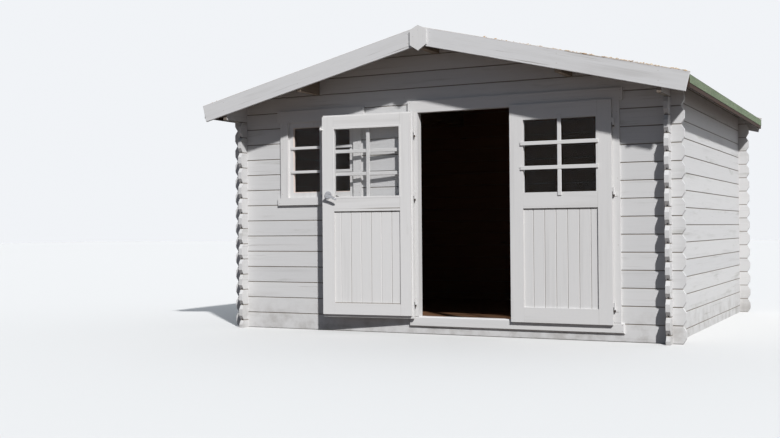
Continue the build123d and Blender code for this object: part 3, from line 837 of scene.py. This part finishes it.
class SHED_OT_window(Maker, bpy.types.Operator):
    """Fit the glazing bars and beads of the window"""

    bl_idname = "shed.window"
    bl_label = "Window bars and beads"

    def make(self, chosen, paint):
        member, run, inset, ease = 0.045, 0.020, 0.006, 0.002
        bar_heights = (1.416, 1.632)
        low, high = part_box("window_casement")
        left, right = low.x + member, high.x - member
        sill, head = low.z + member, high.z - member
        centre, half, face = (left + right) / 2, chosen.window_bar / 2, low.y
        body = body_of("window_casement")
        bm = bmesh.new()
        board(bm, (centre - half, face - 0.007, sill - run), (centre + half, face + 0.004, head + run), ease)
        for height in bar_heights:
            board(bm, (left - run, face - 0.009, height - half), (right + run, face + 0.0002, height + half),
                  ease)
        piece("window_bars", bm, painted("Painted window bars", worn=BAR_WORN), body)
        bm = bmesh.new()
        bead_ring(bm, left + inset, right - inset, sill + inset, head - inset, -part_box("window_glass")[0].y,
                  -face - 0.004, 0.010, ease, UPRIGHT)
        piece("window_beads", bm, timber("Raw beads", paint.raw, paint.paint_worn), body)


def facing(place, direction):
    """From a shape's own z to a place and a direction."""
    return Matrix.Translation(place) @ direction.to_track_quat("Z", "Y").to_matrix().to_4x4()


def turned_shape(place, profile, out=1):
    """Stations of a shape turned about z, from its radii and heights."""
    return [place @ Matrix.Translation((0, 0, out * height)) @ Matrix.Diagonal((radius, radius, 1, 1))
            for radius, height in profile]


class SHED_OT_handles(Maker, bpy.types.Operator):
    """Turn the lever handles and their roses"""

    bl_idname = "shed.handles"
    bl_label = "Lever handles"

    def make(self, chosen, paint):
        rose = ((0.033, 0.0), (0.033, 0.004), (0.0312, 0.0074), (0.026, 0.0095), (0.014, 0.0100))
        neck = ((0.0120, 0.008), (0.0092, 0.013), (0.0088, 0.030), (0.0100, 0.042), (0.0085, 0.053))
        free_edge = chosen.hinge_offset + chosen.leaf_width
        chrome = Finish("Worn chrome")
        pits = chrome.noise(chrome.place(), 240.0, 4.0, 0.7).ramp(0.56, 0.68)
        chrome.set(Base_Color=chrome.mix(pits, (0.46, 0.46, 0.48), (0.26, 0.20, 0.14)),
                   Roughness=0.12 + pits * 0.4, Metallic=1.0)
        for word, face, out in (("outdoors", chosen.leaf_face, 1),
                                ("indoors", chosen.leaf_face - chosen.leaf, -1)):
            bm = bmesh.new()
            spindle = (free_edge - chosen.lever_backset, chosen.lever_height, face)
            place = leaf_matrix(1) @ Matrix.Translation(spindle)
            sweep(bm, turned_shape(place, rose, out), 40)
            sweep(bm, turned_shape(place, neck, out), 24)
            sweep(bm, self.grip(place, out), 20)
            result = piece(f"lever_{word}", bm, chrome.material, "left_door",
                           ("lever_handles",))
            for polygon in result.data.polygons:
                polygon.use_smooth = True
            result.modifiers.new("Eased", "EDGE_SPLIT").split_angle = math.radians(40)

    def grip(self, place, out):
        """Stations along the moulded grip, which droops and tapers to a rounded tip."""
        steps, start, length, droop, sag = 14, -0.011, 0.118, math.radians(24), 0.004
        tallest, thickest, stand_off = 0.0138, 0.0068, 0.049
        heading = Matrix.Rotation(math.pi + droop, 4, "Z")
        stations = []
        for step in range(steps + 1):
            share = step / steps
            taper = 1 - 0.20 * share
            tip = min(1.0, 0.30 + (1 - share) * 7)
            tall = tallest * math.sin(min(1.0, 0.35 + share * 5) * math.pi / 2) * taper
            thick = thickest * taper * tip
            turn = Matrix.Translation((start + share * length, -sag * math.sin(share * math.pi),
                                       out * (stand_off - 0.006 * share ** 2)))
            flat = Matrix.Rotation(math.pi / 2, 4, "Y") @ Matrix.Diagonal((thick, tall * tip, 1, 1))
            stations.append(place @ heading @ turn @ flat)
        return stations


class SHED_OT_stud(Maker, bpy.types.Operator):
    """Screw a white stud to the left leaf beside its free edge, where it clears the other leaf"""

    bl_idname = "shed.stud"
    bl_label = "Stud"

    def make(self, chosen, paint):
        beside, drop, length = 0.008, 0.007, 0.017
        profile = ((0.0065, -0.001), (0.0065, 0.0015), (0.0030, 0.0030), (0.0030, 0.0170), (0.0066, 0.0190),
                   (0.0084, 0.0225), (0.0084, 0.0265), (0.0062, 0.0300), (0.0028, 0.0315))
        free_edge = chosen.hinge_offset + chosen.leaf_width
        back = chosen.leaf_face - chosen.leaf
        foot = Vector((free_edge - beside, chosen.stud_height - drop, back))
        knob = Vector((free_edge + beside, chosen.stud_height, back - length))
        bm = bmesh.new()
        sweep(bm, turned_shape(leaf_matrix(1) @ facing(foot, knob - foot), profile), 20)
        finish = Finish("White enamel")
        finish.set(Base_Color=(0.80, 0.79, 0.76), Roughness=0.35 + finish.noise(finish.place(), 90.0) * 0.15)
        piece("left_door_stud", bm, finish.material, "left_door")


class SHED_OT_nails(Maker, bpy.types.Operator):
    """Drive the nails of the trims, bargeboards and felt"""

    bl_idname = "shed.nails"
    bl_label = "Nails"

    def make(self, chosen, paint):
        steel = Finish("Nail heads")
        rust = steel.noise(steel.place(), 220.0, 3.0, 0.6)
        steel.set(Base_Color=steel.mix(rust.ramp(0.4, 0.65), (0.30, 0.27, 0.24), (0.16, 0.075, 0.04)),
                  Roughness=0.5 + rust * 0.3)
        bm = bmesh.new()
        for place in self.trim_places():
            self.head(bm, place, -Y, chosen.nail)
        piece("trim_nails", bm, steel.material, body_of("front_wall_base"))
        bm = bmesh.new()
        self.felt_heads(bm, chosen)
        piece("felt_nails", bm, steel.material, body_of("roof_felt_left"))

    def felt_heads(self, bm, chosen):
        """Rows of clout nails through both seams of the felt, and every other one at the eave."""
        count, margin, clout, first_strip, above_felt = 27, 0.045, 0.005, 0.955, 0.0045
        slope_length = felt_high.x / math.cos(chosen.pitch)
        seams = (first_strip - chosen.felt_lap, slope_length - chosen.felt_width / 2 + 0.012)
        for side in (-1, 1):
            normal = Vector((side * math.sin(chosen.pitch), 0, math.cos(chosen.pitch)))
            for number in range(count):
                y = felt_low.y + margin + number * (felt_high.y - felt_low.y - 2 * margin) / (count - 1)
                for seam in seams:
                    reach = felt_high.x - seam * math.cos(chosen.pitch)
                    top = felt_high.z - reach * math.tan(chosen.pitch) + above_felt
                    self.head(bm, Vector((side * reach, y, top)), normal, clout)
                if number % 2 == 0:
                    self.head(bm, Vector((side * (felt_high.x - 0.0006), y, felt_low.z + 0.022)), side * X,
                              clout, 0.0005)

    def trim_places(self):
        """Nails at the ends of every trim, over the purlins, in the ridge plate and in the wall."""
        inset = 0.018
        places = []
        for node in ("door_head_trim", "door_threshold", "window_trims", "door_casings", "window_casings"):
            low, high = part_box(node)
            heights = (low.z + inset, high.z - inset)
            if node.endswith("casings"):
                heights = [low.z + share * (high.z - low.z) for share in (0.05, 0.35, 0.65, 0.95)]
            places += [Vector((x, low.y, z)) for x in (low.x + inset, high.x - inset) for z in heights]
        low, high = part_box("front_bargeboard_right")
        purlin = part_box("right_purlin")
        for side in (-1, 1):
            for x in (0.10, (purlin[0].x + purlin[1].x) / 2, HALF_OUT - 0.017):
                top = high.z + sizes().barge_rise - x * math.tan(sizes().pitch)
                places += [Vector((side * x, low.y, top - drop)) for drop in (0.035, 0.110)]
        low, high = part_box("front_ridge_plate")
        for x, share in ((-0.045, 0.55), (0.045, 0.55), (0.0, 0.25), (0.0, 0.80)):
            places.append(Vector((x, low.y + 0.00035, low.z + share * (high.z - low.z))))
        return places + [Vector((-0.304, FRONT, z)) for z in (2.022, 2.160)]

    def head(self, bm, place, normal, radius, rise=0.0007):
        """One low domed head."""
        bmesh.ops.create_cone(bm, cap_ends=True, segments=10, radius1=radius, radius2=radius * 0.7,
                              depth=rise, matrix=facing(place, normal))


class SHED_OT_verge(Maker, bpy.types.Operator):
    """Scatter dry moss and dead needles along the top edges of the front bargeboards"""

    bl_idname = "shed.verge"
    bl_label = "Moss on the verge"

    tufts: IntProperty(name="Tufts", description="How many tufts may lie on the verge", default=420, min=1)

    def make(self, chosen, paint):
        seed, right_share, bare_ridge, inside_end = 11, 0.93, 0.5, 0.028
        draw = random.Random(seed)
        noise.seed_set(seed)
        low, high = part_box("front_bargeboard_right")
        bm = bmesh.new()
        for _ in range(self.tufts):
            side = 1 if draw.random() < right_share else -1
            x = draw.uniform(bare_ridge, high.x - inside_end)
            if draw.random() > (x / high.x) ** 2:
                continue
            size = draw.uniform(0.003, 0.009)
            y = draw.uniform(low.y + 0.001, high.y + 0.012)
            top = high.z + chosen.barge_rise - x * math.tan(chosen.pitch)
            made = bmesh.ops.create_icosphere(bm, subdivisions=1, radius=1.0)["verts"]
            shape = Matrix.Diagonal((size * draw.uniform(1.0, 2.4), size * 0.7, size * 0.55, 1))
            turn = Matrix.Rotation(draw.uniform(-0.5, 0.5), 4, "Y")
            bmesh.ops.transform(bm, matrix=Matrix.Translation((side * x, y, top)) @ turn @ shape, verts=made)
            for vert in made:
                vert.co += noise.noise_vector(vert.co * 260) * size * 0.5
        finish = Finish("Dry moss")
        tone = finish.noise(finish.place(), 60.0, 3.0, 0.7)
        finish.set(Base_Color=finish.mix(tone.ramp(0.35, 0.65), paint.moss, (0.66, 0.56, 0.40)),
                   Roughness=0.95)
        piece("verge_moss", bm, finish.material, body_of("front_bargeboard_right"))


class SHED_OT_stage(Maker, bpy.types.Operator):
    """Set up the pale floor, the lamp, the soft light and the camera"""

    bl_idname = "shed.stage"
    bl_label = "Stage"

    def make(self, chosen, paint):
        self.floor(paint)
        self.lamp()
        self.world(paint)
        self.camera()
        bpy.context.scene.view_settings.view_transform = "Standard"

    def floor(self, paint):
        bm = bmesh.new()
        bmesh.ops.create_grid(bm, x_segments=1, y_segments=1, size=60.0)
        finish = Finish("Studio floor")
        finish.set(Base_Color=finish.mix(finish.seen(), paint.floor_bounce, paint.backdrop), Roughness=0.9)
        added("studio_floor", bm, finish.material)

    def lamp(self):
        """A key lamp from high on the right; the world fills the shade."""
        lamp = bpy.data.lights.new("Key", "SUN")
        lamp.energy = 4.75
        lamp.angle = math.radians(2.0)
        holder = bpy.data.objects.new("Key", lamp)
        holder.rotation_euler = Vector((-0.97, 1.0, -1.155)).to_track_quat("-Z", "Y").to_euler()
        bpy.context.scene.collection.objects.link(holder)

    def world(self, paint):
        """Pale to the camera; on the shed a cool soft light, stronger from behind."""
        strength, from_behind, shown = 0.19, (1.00, 1.06, 1.12), (0.88, 0.90, 0.93)
        world = bpy.data.worlds.new("Studio")
        bpy.context.scene.world = world
        finish = Finish("Studio light", world)
        behind = finish.split(finish.node("ShaderNodeTexCoord", {}, {}, "Generated"))[1].ramp(-0.10, 0.60)
        light = finish.mix(behind, [part * strength for part in paint.sky], from_behind)
        finish.set(Color=finish.mix(finish.seen(), light, shown))

    def camera(self):
        """The photograph's own viewpoint, solved from the shed's boards and corners."""
        eye = Vector((3.6686, -9.8113, 0.9014))
        yaw, pitch, roll = (math.radians(v) for v in (26.61, 0.507, -0.475))
        focal_pixels, width_pixels, sensor = 1062.4, 780.0, 36.0
        data = bpy.data.cameras.new("Camera")
        data.sensor_fit = "HORIZONTAL"
        data.sensor_width = sensor
        data.lens = focal_pixels / width_pixels * sensor
        data.clip_end = 300.0
        camera = bpy.data.objects.new("Camera", data)
        camera.matrix_world = (Matrix.Translation(eye) @ Matrix.Rotation(yaw, 4, "Z") @ UPRIGHT
                               @ Matrix.Rotation(pitch, 4, "X") @ Matrix.Rotation(roll, 4, "Z"))
        bpy.context.scene.collection.objects.link(camera)
        bpy.context.scene.camera = camera


OPERATORS = (SHED_OT_walls, SHED_OT_trim, SHED_OT_bargeboards, SHED_OT_leaves, SHED_OT_glass,
             SHED_OT_structure, SHED_OT_roof_boards, SHED_OT_floor, SHED_OT_felt, SHED_OT_bars,
             SHED_OT_window, SHED_OT_handles, SHED_OT_stud, SHED_OT_nails, SHED_OT_verge, SHED_OT_stage)


class SHED_PT_panel(bpy.types.Panel):
    """Every step of the shed's finish, with its sizes and colours"""

    bl_idname = "SHED_PT_panel"
    bl_label = "Timber shed"
    bl_space_type = "VIEW_3D"
    bl_region_type = "UI"
    bl_category = "Shed"

    def draw(self, context):
        layout = self.layout
        for group in (context.scene.shed_sizes, context.scene.shed_colours):
            box = layout.box()
            for key in group.bl_rna.properties.keys():
                if key not in ("rna_type", "name"):
                    box.prop(group, key)
        for operator in OPERATORS:
            layout.operator(operator.bl_idname)


CLASSES = (ShedSizes, ShedColours, *OPERATORS, SHED_PT_panel)


def register():
    for item in CLASSES:
        bpy.utils.register_class(item)
    bpy.types.Scene.shed_sizes = PointerProperty(type=ShedSizes)
    bpy.types.Scene.shed_colours = PointerProperty(type=ShedColours)


def unregister():
    del bpy.types.Scene.shed_colours
    del bpy.types.Scene.shed_sizes
    for item in reversed(CLASSES):
        bpy.utils.unregister_class(item)


def main():
    register()
    for operator in OPERATORS:
        group, name = operator.bl_idname.split(".")
        getattr(getattr(bpy.ops, group), name)()


if __name__ == "__main__":
    main()
